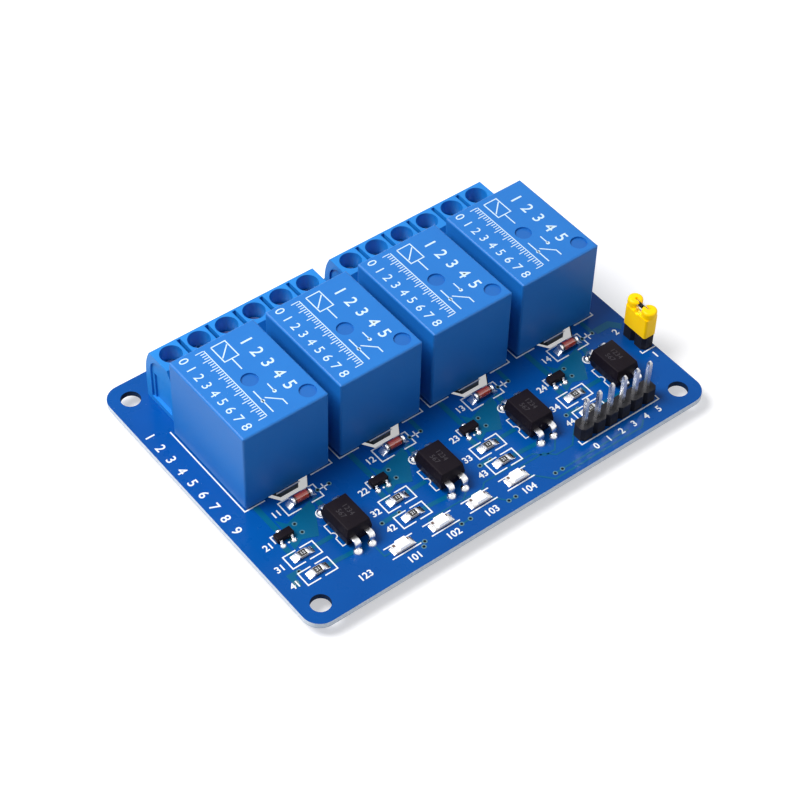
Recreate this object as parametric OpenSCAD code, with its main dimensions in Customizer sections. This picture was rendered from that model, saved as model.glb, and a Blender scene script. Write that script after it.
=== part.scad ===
// Four-channel relay board. A circuit board carries four sealed relays in a row, two
// six-way screw terminal blocks behind them, and in front of each relay its drive parts:
// a glass diode, a transistor, two chip resistors and an optocoupler. Four indicator lamps,
// a six-pin input header and a two-pin header with a push-on jumper cap fill the front.
// Millimetres, +Z up. The origin lies under the board's centre, on the plane that the
// trimmed pin tails stand on. Rows are placed one behind the other from the front edge.

/* [Board] */
// Length of the board, left to right
board_l = 76; // [75:0.5:84]
// Width of the board, front to back
board_w = 56; // [55:0.5:64]
// Thickness of the board
board_t = 1.0; // [0.8:0.1:2]
// Radius of the board's corners
corner_r = 3; // [0.5:0.25:3.4]
// Distance of each mounting hole's centre from its two board edges
mount_inset = 3.5; // [3:0.1:4]
// Diameter of the mounting holes
mount_d = 3.2; // [2:0.1:3.6]
// Length of the trimmed pin tails under the board
tail_len = 2; // [1.5:0.1:3]
// Diameter of the small plated holes that join the board's two sides
via_d = 0.45; // [0.3:0.05:0.6]

/* [Rows, front to back] */
// Front edge to the axis of the input header
header_row = 5.3; // [4.5:0.1:6]
// Front edge to the row of indicator lamps
lamp_row = 4.6; // [4:0.1:5]
// Input header to the front row of resistors
front_resistor_row = 3.05; // [2.8:0.05:3.5]
// Front row of resistors to the rear row
rear_resistor_row = 3.7; // [2.5:0.1:4.5]
// Rear row of resistors to the transistors
transistor_row = 4.25; // [3.5:0.05:5]
// Transistors to the diodes
diode_row = 4.25; // [3:0.05:5]
// Diodes to the front faces of the relays
relay_row = 3.2; // [2.8:0.1:4]
// Input header to the middle of the optocouplers
opto_row = 6.9; // [6.7:0.1:7.3]
// Gap between the relays and the terminal blocks
terminal_gap = 1.0; // [0.4:0.1:2]
// Input header to the middle of the jumper header
jumper_row = 10.05; // [8:0.05:12]

/* [Columns] */
// Sideways offset of the relays from the middle of the board
channel_shift = 0.5; // [-0.5:0.1:0.7]
// Sideways offset of the terminal blocks from the middle of the board
terminal_shift = 0.35; // [-1:0.05:1]
// Relay's centre line to its transistor
transistor_side = 6.2; // [5:0.1:6.4]
// Relay's centre line to its resistors
resistor_side = 5.9; // [4:0.1:6]
// Relay's centre line to its optocoupler
opto_side = 2.15; // [1:0.05:3]
// Left edge of the board to the first indicator lamp
lamp_first = 19.05; // [16:0.05:21]
// Distance between neighbouring indicator lamps
lamp_pitch = 7.2; // [5:0.1:7.6]
// Right edge of the board to the middle of the input header
header_side = 15.2; // [14.8:0.1:17]
// Right edge of the board to the axis of the jumper header
jumper_side = 1.25; // [1.25:0.05:1.6]

/* [Relays] */
// Width of one relay, left to right
relay_w = 15.2; // [14.5:0.1:15.5]
// Length of one relay, front to back
relay_l = 19; // [18:0.1:20]
// Height of one relay case
relay_h = 15.3; // [12:0.1:18]
// Gap between neighbouring relays
relay_gap = 2.15; // [1:0.05:2.3]
// Gap between the relay cases and the board
relay_lift = 0.2; // [0.1:0.05:0.5]
// Wall of the relay case round its base plate
case_wall = 0.6; // [0.4:0.1:0.8]
// Radius of the relay case's edges
case_r = 0.35; // [0.2:0.05:0.55]
// Thickness of the relay's base plate
base_t = 1.4; // [1:0.1:2.5]
// Diameter of the two round moulding marks on a relay's top
mark_d = 2.7; // [1.5:0.1:3.2]
// Depth of the round moulding marks
mark_depth = 0.3; // [0.1:0.05:0.6]
// Distance of the front mark's centre from the case's right side
mark_side = 2.1; // [1.8:0.1:3]
// Distance of the front mark's centre from the case's front face
mark_front = 2.3; // [1.9:0.1:4]
// Distance of the outer relay pins from the case's sides
pin_side_inset = 1.6; // [1.5:0.1:2.2]
// Distance of the relay's common pin from the front face
common_inset = 2.1; // [1.6:0.1:2.4]
// Distance of the two coil pins behind the common pin
coil_step = 2; // [1.5:0.1:2.6]
// Distance of the two contact pins from the rear face
contact_inset = 2.7; // [2:0.1:4]
// Width of the isolation slot in the board round the common pin
slot_w = 1.35; // [0.8:0.05:1.6]
// Distance of the isolation slot's straight part in front of the relay
slot_front = 1.0; // [0.7:0.05:1.2]
// Length of the isolation slot's straight part, between its two bends
slot_l = 4; // [3:0.1:4.6]
// How far each arm of the isolation slot spreads sideways
slot_spread = 2.3; // [1.8:0.1:2.6]

/* [Terminal blocks] */
// Distance between neighbouring ways
way_pitch = 5.08; // [4.9:0.02:5.12]
// Gap between the two terminal blocks
block_gap = 3.3; // [1:0.1:3.6]
// Height of the terminal blocks
terminal_h = 10.3; // [9.8:0.1:12]
// Screw axis to the block's face on the relay side
terminal_front = 4.5; // [4:0.1:4.8]
// Screw axis to the block's face on the wire side
terminal_back = 3.5; // [3.2:0.1:4]
// Height at which the wire side starts to curve inwards
crown_z = 5.2; // [5:0.1:7]
// How far the curve brings the top's rear edge in
crown_in = 1.3; // [0.5:0.1:1.4]
// Height at which the relay side starts to slope inwards
slope_z = 7; // [6:0.1:9]
// How far the slope brings the top's front edge in
slope_in = 1.9; // [1:0.1:2]
// Diameter of the screw wells
well_d = 3.6; // [3.4:0.05:3.9]
// Depth of the screw heads below the top
head_depth = 2.8; // [2:0.1:3]
// Width of the grooves between neighbouring ways
groove_w = 0.65; // [0.4:0.05:0.7]
// Depth of the grooves between neighbouring ways
groove_depth = 2.4; // [1:0.1:3]
// Rim left at both ends of each groove
groove_rim = 0.35; // [0.25:0.05:0.6]
// Width of the wire entries
entry_w = 3.3; // [3:0.1:3.4]
// Height of the wire entries
entry_h = 3.5; // [3:0.1:3.7]
// Step of the wire entries' wider mouth
mouth_step = 0.25; // [0.1:0.05:0.35]
// Thickness of the housing's floor
floor_t = 0.9; // [0.6:0.1:1.1]
// Radius of the arched recess in the housing's ends
arch_r = 2.7; // [2:0.1:2.8]
// Height of the arch's centre above the board
arch_z = 6.8; // [6:0.1:6.9]
// Depth of the arched recess
arch_depth = 0.3; // [0.1:0.05:0.35]

/* [Terminal metal] */
// Width of the clamp cages
cage_w = 3.4; // [3.2:0.05:3.6]
// Length of the clamp cages along the wire
cage_l = 4.2; // [3.6:0.1:4.4]
// Height of the clamp cages
cage_h = 4.3; // [3.8:0.1:4.5]
// Wall of the clamp cages
cage_wall = 0.4; // [0.3:0.05:0.5]
// Thickness of the cages' threaded roof
cage_roof = 0.9; // [0.6:0.1:1.2]
// Diameter of the screw heads
head_d = 3.3; // [3:0.05:3.35]
// Height of the screw heads
head_h = 1.6; // [1.2:0.1:1.7]
// Outside diameter of the screw threads
thread_d = 2.4; // [2:0.1:2.5]
// Length of the screws below the head
thread_l = 3; // [2.2:0.1:3.4]
// Width of the screwdriver slot
driver_w = 0.55; // [0.4:0.05:0.7]
// Depth of the screwdriver slot
driver_depth = 0.7; // [0.4:0.1:0.9]
// Thickness of the contact strips under the cages
strip_t = 0.4; // [0.3:0.05:0.5]

/* [Pin headers] */
// Distance between neighbouring header pins
pin_pitch = 2.54; // [2.5:0.02:2.6]
// Depth of the header's plastic strip
strip_d = 2.5; // [2.3:0.05:2.5]
// Height of the header's plastic strip
strip_h = 2.54; // [2:0.02:3]
// Corner cut of each segment of the strip
segment_cut = 0.5; // [0.2:0.05:0.7]
// Side of the square header pins
pin_side = 0.64; // [0.5:0.02:0.7]
// Height of the pin tips above the board
pin_top = 8.05; // [7.5:0.05:9]
// Height of the jumper pin tips above the board
jumper_top = 7.5; // [7:0.05:8.5]
// Length of the pins' tapered tips
pin_taper = 0.4; // [0.2:0.05:0.6]

/* [Jumper cap] */
// Length of the jumper cap
cap_l = 5.0; // [4.8:0.05:5.1]
// Width of the jumper cap
cap_w = 2.45; // [2.2:0.05:2.5]
// Thickness of the cap's roof over the pin tips
cap_roof = 0.4; // [0.3:0.05:0.8]
// Height of the two round ears on the cap's top
ear_h = 1.25; // [1:0.05:1.4]
// How far the ears stand out past the cap's ends
ear_over = 0.35; // [0.2:0.05:0.5]
// Rounding of the ears' upper edges
ear_round = 0.4; // [0.2:0.05:0.6]
// Height of the groove below the ears
neck_h = 0.2; // [0.1:0.05:0.3]
// Width of the notch across the cap between the ears
notch_w = 1.0; // [0.6:0.1:1.2]
// Depth of the notch below the ears' tops
notch_depth = 1.75; // [1.2:0.05:2]
// Width of the slot along the cap's top
cap_slot_w = 0.45; // [0.3:0.05:0.6]
// Length of the metal clip inside the cap
clip_l = 4.2; // [4:0.05:4.3]
// Width of the metal clip inside the cap
clip_w = 1.3; // [1.2:0.05:1.4]
// Thickness of the clip's sheet
clip_t = 0.25; // [0.15:0.05:0.28]

/* [Optocouplers] */
// Width of an optocoupler, left to right
opto_w = 4.58; // [4.2:0.02:5]
// Length of an optocoupler, front to back
opto_l = 6.5; // [6:0.1:6.6]
// Height of an optocoupler's body
opto_h = 3.5; // [3:0.1:4]
// Gap between an optocoupler's body and the board
opto_lift = 0.35; // [0.1:0.05:0.6]
// How far the body's faces draw in from the parting line
opto_draft = 0.3; // [0.1:0.05:0.4]
// Diameter of the round mark that shows the first lead
pin_mark_d = 0.9; // [0.5:0.1:1.2]
// Distance of that mark from the body's front and left
pin_mark_in = 1.15; // [1:0.05:1.5]
// Distance between the front and rear rows of leads
lead_span = 9; // [8.8:0.1:9.2]
// Distance between the two leads of a row
lead_pitch = 2.54; // [2.4:0.02:2.7]
// Width of the leads at their shoulders
shoulder_w = 1.2; // [0.9:0.05:1.3]
// Width of the leads where they enter the board
lead_w = 0.6; // [0.4:0.05:0.7]
// Thickness of the leads
lead_t = 0.28; // [0.2:0.02:0.35]

/* [Small parts] */
// Length of the glass diodes
diode_l = 3.5; // [3.3:0.1:3.7]
// Diameter of the diodes' glass
glass_d = 1.4; // [1.2:0.05:1.45]
// Diameter of the diodes' end caps
cap_d = 1.5; // [1.5:0.05:1.7]
// Length of the diodes' end caps
diode_cap = 0.42; // [0.3:0.02:0.6]
// Length of the chip resistors
chip_l = 2.0; // [1.6:0.1:2.2]
// Width of the chip resistors
chip_w = 1.25; // [0.8:0.05:1.3]
// Height of the chip resistors
chip_h = 0.55; // [0.35:0.05:0.7]
// Length of the indicator lamps
lamp_l = 3.2; // [2.8:0.1:3.4]
// Width of the indicator lamps
lamp_w = 1.6; // [1.25:0.05:1.8]
// Radius of the half-round bay in each end of a lamp's carrier
lamp_bay = 0.3; // [0.2:0.05:0.4]
// Height of the indicator lamps
lamp_h = 1.1; // [0.7:0.05:1.3]
// Length of the lamps' clear lens
lens_l = 2.0; // [1.6:0.1:2.2]
// Thickness of the lamps' carrier under the lens
carrier_t = 0.4; // [0.3:0.05:0.6]
// Length of a transistor's body
sot_l = 2.9; // [2.7:0.1:3.1]
// Width of a transistor's body
sot_w = 1.35; // [1.2:0.05:1.5]
// Height of a transistor's top above its feet
sot_h = 1.1; // [0.9:0.05:1.3]
// Distance between a transistor's feet, front to back
sot_span = 2.3; // [2.2:0.05:2.5]
// Distance between a transistor's two front feet
sot_pitch = 1.9; // [1.8:0.05:2]

/* [Solder and fits] */
// Play of a pin in its plated hole, all round
hole_play = 0.2; // [0.1:0.05:0.3]
// Width of the solder ring round a plated hole
ring_w = 0.45; // [0.25:0.05:0.5]
// Height of the solder cones under the board
cone_h = 1.1; // [0.6:0.1:1.3]
// Height of the solder beads on the optocoupler leads
bead_h = 0.5; // [0.3:0.05:0.7]
// Thickness of the solder film under the small parts
film_t = 0.05; // [0.02:0.01:0.08]
// Reach of the solder beyond the small parts' ends
toe = 1.0; // [0.5:0.1:1.2]
// Reach of the solder beyond the transistors' feet
sot_toe = 0.55; // [0.3:0.05:0.8]
// Clearance of parts that slide or press into each other
fit = 0.05; // [0.02:0.01:0.08]

/* [Hidden] */
$fn = 48;
eps = 0.01;
channels = 4;
ways = 6;
header_ways = 6;
jumper_ways = 2;
sides = [-1, 1];

// Heights
board_z = tail_len;
top_z = board_z + board_t;
case_z = top_z + relay_lift;
base_top = case_z + base_t;

// Rows
front_y = -board_w / 2;
header_y = front_y + header_row;
lamp_y = front_y + lamp_row;
front_resistor_y = header_y + front_resistor_row;
rear_resistor_y = front_resistor_y + rear_resistor_row;
transistor_y = rear_resistor_y + transistor_row;
diode_y = transistor_y + diode_row;
relay_y = diode_y + relay_row;
opto_y = header_y + opto_row;
jumper_y = header_y + jumper_row;
screw_y = relay_y + relay_l + terminal_gap + terminal_front;

// Columns
relay_pitch = relay_w + relay_gap;
function channel_x(k) = channel_shift + (k - (channels - 1) / 2) * relay_pitch;
function lamp_x(k) = -board_l / 2 + lamp_first + k * lamp_pitch;
header_x = board_l / 2 - header_side;
jumper_x = board_l / 2 - jumper_side;
block_l = ways * way_pitch;
function block_x(side) = terminal_shift + side * (block_gap + block_l) / 2;
function way_x(w) = (w - (ways - 1) / 2) * way_pitch;
mounts = [for (x = sides, y = sides) [x * (board_l / 2 - mount_inset), y * (board_w / 2 - mount_inset)]];

// Terminal insides: the strip lies on the floor, the cage stands on the strip
cage_z = floor_t + strip_t;
chamber_top = cage_z + cage_h + fit;
head_z = terminal_h - head_depth - head_h;
crown_r = (pow(terminal_h - crown_z, 2) + pow(crown_in, 2)) / (2 * crown_in);
entry_z = cage_z + 0.1;

// Jumper cap: its pocket reaches just over the tips of the pins
pocket_h = jumper_top - strip_h;
cap_h = pocket_h + cap_roof;

// Pin sections, [width, depth]
blade = [1.0, 0.5];
coil_pin = [0.6, 0.6];
tail_pin = [1.0, 0.8];
lead_pin = [lead_w, lead_t];
square_pin = [pin_side, pin_side];

// Places of the pins in a relay, from the middle of its front face
pin_x = relay_w / 2 - pin_side_inset;
coil_y = common_inset + coil_step;
relay_pins_at = [
    [0, common_inset, blade], [-pin_x, coil_y, coil_pin], [pin_x, coil_y, coil_pin],
    [-pin_x, relay_l - contact_inset, blade], [pin_x, relay_l - contact_inset, blade]
];
opto_leads_at = [for (x = sides, y = sides) [x * lead_pitch / 2, y * lead_span / 2, lead_pin]];

// Every pin that passes through the board, [x, y, section]
function moved(list, x, y) = [for (p = list) [p.x + x, p.y + y, p[2]]];
all_pins = concat(
    [for (k = [0:channels - 1], p = moved(relay_pins_at, channel_x(k), relay_y)) p],
    [for (k = [0:channels - 1], p = moved(opto_leads_at, channel_x(k) + opto_side, opto_y)) p],
    [for (s = sides, w = [0:ways - 1]) [block_x(s) + way_x(w), screw_y, tail_pin]],
    [for (i = [0:header_ways - 1]) [header_x + strip_x(i, header_ways), header_y, square_pin]],
    [for (i = [0:jumper_ways - 1]) [jumper_x, jumper_y + strip_x(i, jumper_ways), square_pin]]
);
function strip_x(i, n) = (i - (n - 1) / 2) * pin_pitch;
function hole_d(section) = norm(section) + 2 * hole_play;

// Small plated holes. Each channel has the same pairs beside its transistor and its diode,
// and its own pair behind its front resistor and beside its lamp
transistor_vias = [[2.75, 1.1], [2.75, -0.8]];
diode_vias = [[3.1, 0.05], [5.2, 0.05]];
resistor_vias = [
    [[-2.2, 1.55], [-3.7, 0.15]], [[-4.6, 1.45], [-1.3, 1.55]],
    [[-3.4, 1.45], [-1.35, 1.45]], [[-3.7, 1.4], [-1.3, 1.35]]
];
lamp_vias = [
    [[3.2, -1.2], [2.5, -1.9]], [[2.35, -1.9], [4, -1.9]],
    [[3.55, -2.65], [4.85, -2.65]], [[5.35, -2.7], [6.75, -2.7]]
];
via_spots = [for (k = [0:channels - 1]) each concat(
    [for (v = transistor_vias) v + [channel_x(k) - transistor_side, transistor_y]],
    [for (v = diode_vias) v + [channel_x(k), diode_y]],
    [for (v = resistor_vias[k]) v + [channel_x(k) - resistor_side, front_resistor_y]],
    [for (v = lamp_vias[k]) v + [lamp_x(k), lamp_y]]
)];

relay_names = ["case", "base", "pins"];
terminal_names = ["housing", "screws", "clamps", "pins"];
small_names = ["optocoupler", "optocoupler_leads", "diode", "transistor", "front_resistor",
    "rear_resistor", "indicator_lamp"];

// ---- Shared shapes ----

// Rectangle round the origin with all four corners rounded
module round_rect(w, l, r) {
    square([w, l - 2 * r], center = true);
    square([w - 2 * r, l], center = true);
    for (x = sides, y = sides) translate([x * (w / 2 - r), y * (l / 2 - r)]) circle(r);
}

// Rectangle standing on the X axis with its two upper corners rounded
module arched_rect(w, h, r) {
    translate([-w / 2, 0]) square([w, h - r]);
    translate([-w / 2 + r, 0]) square([w - 2 * r, h]);
    for (x = sides) translate([x * (w / 2 - r), h - r]) circle(r);
}

// Extrusion along Y, centred, of an outline drawn in X and Z
module along_y(l) {
    translate([0, l / 2, 0]) rotate([90, 0, 0]) linear_extrude(l) children();
}

// Extrusion along X, centred, of an outline drawn in Y and Z
module along_x(l) {
    translate([-l / 2, 0, 0]) rotate([90, 0, 90]) linear_extrude(l) children();
}

// Block standing on the ground, rounded at its upright and top edges
module soft_block(w, l, h, r) {
    intersection() {
        linear_extrude(h) round_rect(w, l, r);
        along_y(l) arched_rect(w, h, r);
        along_x(w) arched_rect(l, h, r);
    }
}

// Side outline of a moulded body that draws in above and below its parting line
module drafted_outline(w, h, draft) {
    half = w / 2;
    polygon([[draft - half, 0], [half - draft, 0], [half, h / 2],
        [half - draft, h], [draft - half, h], [-half, h / 2]]);
}

// Moulded body with that outline on all four sides
module drafted_body(w, l, h, draft) {
    intersection() {
        along_y(l) drafted_outline(w, h, draft);
        along_x(w) drafted_outline(l, h, draft);
    }
}

// Square bar with the section of a pin, from one height to another
module pin_bar(section, z0, z1) {
    translate([-section.x / 2, -section.y / 2, z0]) cube([section.x, section.y, z1 - z0]);
}

// ---- Board ----

// Slot that keeps the common pin apart from the coil pins: a straight part in front of
// the relay, and an arm at each end that runs back under the relay
module isolation_slot() {
    half = slot_w / 2;
    bend = [slot_l / 2, -slot_front];
    tip = [bend.x + slot_spread, common_inset + 0.4];
    turn = atan2(tip.y - bend.y, tip.x - bend.x);
    miter = half * [tan(turn / 2), -1];
    across = half * [sin(turn), -cos(turn)];
    right = [bend + miter, tip + across, tip - across, bend - miter];
    polygon(concat(right, [for (i = [3:-1:0]) [-right[i].x, right[i].y]]));
}

module circuit_board() {
    color("mediumblue")
    difference() {
        translate([0, 0, board_z]) linear_extrude(board_t) round_rect(board_l, board_w, corner_r);
        for (m = mounts) translate([m.x, m.y, 0]) cylinder(d = mount_d, h = top_z + eps);
        for (p = all_pins) translate([p.x, p.y, 0]) cylinder(d = hole_d(p[2]), h = top_z + eps);
        for (v = via_spots) translate([v.x, v.y, 0]) cylinder(d = via_d, h = top_z + eps, $fn = 16);
        for (k = [0:channels - 1]) translate([channel_x(k), relay_y, 0])
            linear_extrude(top_z + eps) isolation_slot();
    }
}

// ---- Relays ----

module relay_case(k) {
    mark_at = [[0, relay_l / 2 - 0.4], [relay_w / 2 - mark_side, mark_front]];
    color("dodgerblue")
    translate([channel_x(k), relay_y, case_z])
    difference() {
        translate([0, relay_l / 2, 0]) soft_block(relay_w, relay_l, relay_h, case_r);
        translate([case_wall - relay_w / 2, case_wall, -eps])
            cube([relay_w - 2 * case_wall, relay_l - 2 * case_wall, base_t + eps]);
        for (m = mark_at) translate([m.x, m.y, relay_h - mark_depth])
            cylinder(d = mark_d, h = mark_depth + eps);
    }
}

// Base plate inside the case's mouth, on four feet
module relay_base(k) {
    w = relay_w - 2 * (case_wall + fit);
    l = relay_l - 2 * (case_wall + fit);
    foot = 1.2;
    color("navy")
    translate([channel_x(k), relay_y, 0])
    difference() {
        translate([0, relay_l / 2, 0]) {
            translate([-w / 2, -l / 2, case_z]) cube([w, l, base_t]);
            for (x = sides, y = sides)
                translate([x * (w - foot) / 2 - foot / 2, y * (l - foot) / 2 - foot / 2, top_z])
                    cube([foot, foot, relay_lift + eps]);
        }
        for (p = relay_pins_at) translate([p.x, p.y, 0]) pin_bar(p[2], 0, base_top + 1);
    }
}

module relay_pins(k) {
    color("silver")
    for (p = relay_pins_at) translate([channel_x(k) + p.x, relay_y + p.y, 0]) pin_bar(p[2], 0, base_top);
}

// ---- Terminal blocks ----

// Side outline of a housing, the screw axis at zero, the wire side at the right
module terminal_outline() {
    difference() {
        intersection() {
            translate([-terminal_front, 0]) square([2 * terminal_front + terminal_back, terminal_h]);
            union() {
                translate([-terminal_front, 0]) square([terminal_front + terminal_back, crown_z]);
                translate([terminal_back - crown_r, crown_z]) circle(crown_r, $fn = 96);
            }
        }
        polygon([[-terminal_front - 1, slope_z], [-terminal_front, slope_z],
            [slope_in - terminal_front, terminal_h], [slope_in - terminal_front, terminal_h + 1],
            [-terminal_front - 1, terminal_h + 1]]);
    }
}

// Hollow of one way: screw well, chamber for the cage, wire entry with a wider mouth,
// and the hole for the pin's tail
module way_hollow() {
    chamber_w = cage_w + 2 * fit;
    chamber_back = cage_l / 2 + fit;
    translate([0, 0, chamber_top - eps]) cylinder(d = well_d, h = terminal_h);
    translate([-chamber_w / 2, -chamber_back, floor_t])
        cube([chamber_w, 2 * chamber_back, chamber_top - floor_t]);
    translate([-entry_w / 2, 0, entry_z]) cube([entry_w, terminal_back + 1, entry_h]);
    translate([-entry_w / 2 - mouth_step, terminal_back - mouth_step, entry_z - mouth_step])
        cube([entry_w + 2 * mouth_step, 1, entry_h + 2 * mouth_step]);
    pin_bar([tail_pin.x + 2 * fit, tail_pin.y + 2 * fit], -1, floor_t + eps);
}

// Arched recess in an end face, with a deeper lower half
module end_recess() {
    rim = 0.6;
    leg = arch_z - floor_t;
    along_x(2 * arch_depth) {
        translate([-arch_r, floor_t]) square([2 * arch_r, leg]);
        translate([0, arch_z]) circle(arch_r);
    }
    along_x(4 * arch_depth)
        translate([rim - arch_r, floor_t]) square([2 * (arch_r - rim), leg - rim]);
}

module terminal_housing(side) {
    groove_l = terminal_front + terminal_back - crown_in - slope_in - 2 * groove_rim;
    color("deepskyblue")
    translate([block_x(side), screw_y, top_z])
    difference() {
        along_x(block_l) terminal_outline();
        for (w = [0:ways - 1]) translate([way_x(w), 0, 0]) way_hollow();
        for (w = [1:ways - 1])
            translate([way_x(w) - way_pitch / 2 - groove_w / 2, slope_in + groove_rim - terminal_front,
                    terminal_h - groove_depth])
                cube([groove_w, groove_l, groove_depth + 1]);
        for (s = sides) translate([s * block_l / 2, (terminal_back - terminal_front) / 2, 0]) end_recess();
    }
}

module terminal_screws(side) {
    bevel = 0.25;
    color("gainsboro")
    for (w = [0:ways - 1]) translate([block_x(side) + way_x(w), screw_y, top_z + head_z])
        difference() {
            union() {
                translate([0, 0, head_h - bevel]) cylinder(d1 = head_d, d2 = head_d - 2 * bevel, h = bevel);
                cylinder(d = head_d, h = head_h - bevel);
                translate([0, 0, -thread_l]) cylinder(d = thread_d, h = thread_l + eps);
            }
            rotate(25 + 40 * w) translate([-head_d, -driver_w / 2, head_h - driver_depth])
                cube([2 * head_d, driver_w, driver_depth + 1]);
        }
}

// Cages that the screws draw tight: open along the wire, threaded in the roof
module terminal_clamps(side) {
    inner_w = cage_w - 2 * cage_wall;
    color("lightgray")
    for (w = [0:ways - 1]) translate([block_x(side) + way_x(w), screw_y, top_z + cage_z])
        difference() {
            translate([-cage_w / 2, -cage_l / 2, 0]) cube([cage_w, cage_l, cage_h]);
            translate([-inner_w / 2, -cage_l, cage_wall])
                cube([inner_w, 2 * cage_l, cage_h - cage_wall - cage_roof]);
            cylinder(d = thread_d + 2 * fit, h = cage_h + 1);
        }
}

// Contact strips on the housing's floor, each with a tail through the board
module terminal_pins(side) {
    margin = 0.3;
    strip_w = cage_w - 2 * margin;
    strip_l = cage_l - 2 * margin;
    color("silver")
    for (w = [0:ways - 1]) translate([block_x(side) + way_x(w), screw_y, 0]) {
        translate([-strip_w / 2, -strip_l / 2, top_z + floor_t]) cube([strip_w, strip_l, strip_t]);
        pin_bar(tail_pin, 0, top_z + floor_t + eps);
    }
}

// ---- Pin headers and jumper ----

// Plastic strip along X whose segments have cut corners, with its pin holes
module header_strip(n) {
    cut = segment_cut;
    hx = pin_pitch / 2;
    hy = strip_d / 2;
    difference() {
        linear_extrude(strip_h) for (i = [0:n - 1]) translate([strip_x(i, n), 0])
            polygon([[cut - hx, -hy], [hx - cut, -hy], [hx, cut - hy], [hx, hy - cut],
                [hx - cut, hy], [cut - hx, hy], [-hx, hy - cut], [-hx, cut - hy]]);
        for (i = [0:n - 1]) translate([strip_x(i, n), 0, 0]) pin_bar(square_pin, -1, strip_h + 1);
    }
}

// Square pin with both ends tapered on four sides
module header_pin(rise) {
    h = top_z + rise;
    a = pin_side / 2;
    b = a / 2;
    tall = [[-b, 0], [b, 0], [a, pin_taper], [a, h - pin_taper], [b, h], [-b, h],
        [-a, h - pin_taper], [-a, pin_taper]];
    intersection() {
        along_y(pin_side) polygon(tall);
        along_x(pin_side) polygon(tall);
    }
}

module input_header_strip() {
    color([0.12, 0.12, 0.14]) translate([header_x, header_y, top_z]) header_strip(header_ways);
}

module input_header_pins() {
    color("silver")
    for (i = [0:header_ways - 1]) translate([header_x + strip_x(i, header_ways), header_y, 0])
        header_pin(pin_top);
}

module jumper_header_strip() {
    color([0.12, 0.12, 0.14]) translate([jumper_x, jumper_y, top_z]) rotate(90) header_strip(jumper_ways);
}

module jumper_header_pins() {
    color("silver")
    for (i = [0:jumper_ways - 1]) translate([jumper_x, jumper_y + strip_x(i, jumper_ways), 0])
        header_pin(jumper_top);
}

// Round ear with a rounded upper edge
module cap_ear() {
    r = cap_w / 2;
    arc = [for (a = [0:18:90]) [r - ear_round * (1 - cos(a)), ear_h - ear_round * (1 - sin(a))]];
    rotate_extrude() polygon(concat([[0, 0], [r, 0]], arc, [[0, ear_h]]));
}

// Push-on cap over the two jumper pins: a block with a pocket for the clip from below,
// and on a narrower neck two ears, parted by a notch across and a slot along the top
module jumper_cap() {
    corner = 0.4;
    neck_in = 0.15;
    pocket = [clip_w + 2 * fit, clip_l + 2 * fit];
    neck_z = cap_h - ear_h - neck_h;
    ear_y = cap_l / 2 + ear_over - cap_w / 2;
    slot_l = 2 * ear_y;
    notch_z = cap_h - notch_depth + notch_w / 2;
    color("gold")
    translate([jumper_x, jumper_y, top_z + strip_h + fit])
    difference() {
        union() {
            linear_extrude(neck_z) round_rect(cap_w, cap_l, corner);
            linear_extrude(cap_h - ear_h + eps)
                round_rect(cap_w - 2 * neck_in, cap_l - 2 * neck_in, corner);
            for (s = sides) translate([0, s * ear_y, cap_h - ear_h]) cap_ear();
        }
        translate([-pocket.x / 2, -pocket.y / 2, -eps]) cube([pocket.x, pocket.y, pocket_h + eps]);
        translate([-cap_slot_w / 2, -slot_l / 2, 0]) cube([cap_slot_w, slot_l, cap_h + 1]);
        translate([-cap_w, -notch_w / 2, notch_z]) cube([2 * cap_w, notch_w, notch_depth]);
        translate([0, 0, notch_z]) rotate([0, 90, 0]) cylinder(d = notch_w, h = 2 * cap_w, center = true);
    }
}

// Metal clip in the cap: a flat tube of sheet that holds both pins
module jumper_clip() {
    recess = 0.3;
    clip_h = pocket_h - 2 * recess;
    color("silver")
    translate([jumper_x, jumper_y, top_z + strip_h + fit + recess])
    difference() {
        translate([-clip_w / 2, -clip_l / 2, 0]) cube([clip_w, clip_l, clip_h]);
        translate([clip_t - clip_w / 2, clip_t - clip_l / 2, -1])
            cube([clip_w - 2 * clip_t, clip_l - 2 * clip_t, clip_h + 2]);
    }
}

// ---- Optocouplers ----

// One lead at the front or rear: a wide shoulder out of the body, a splayed leg,
// and a narrow tail through the board
module opto_lead(side) {
    mid = top_z + opto_lift + opto_h / 2;
    t = lead_t / 2;
    foot = lead_span / 2;
    root = opto_l / 2 - 0.5;
    out = foot - 0.35;
    neck = top_z + 0.9;
    mirror([0, side > 0 ? 0 : 1, 0]) {
        along_x(shoulder_w)
            polygon([[root, mid + t], [out, mid + t], [out + 2 * t, mid - t], [foot + t, neck],
                [foot - t, neck], [out - t, mid - 2 * t], [out - 2 * t, mid - t], [root, mid - t]]);
        translate([0, foot, 0]) pin_bar(lead_pin, 0, neck + eps);
    }
}

module opto_lead_set() {
    for (x = sides, y = sides) translate([x * lead_pitch / 2, 0, 0]) opto_lead(y);
}

module optocoupler(k) {
    sink = 0.08;
    top = top_z + opto_lift + opto_h;
    color([0.13, 0.12, 0.14])
    translate([channel_x(k) + opto_side, opto_y, 0])
    difference() {
        translate([0, 0, top_z + opto_lift]) drafted_body(opto_w, opto_l, opto_h, opto_draft);
        translate([pin_mark_in - opto_w / 2, pin_mark_in - opto_l / 2, top - sink])
            cylinder(d = pin_mark_d, h = 1);
        opto_lead_set();
    }
}

module optocoupler_leads(k) {
    color("silver") translate([channel_x(k) + opto_side, opto_y, 0]) opto_lead_set();
}

// ---- Small surface-mounted parts ----

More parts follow.
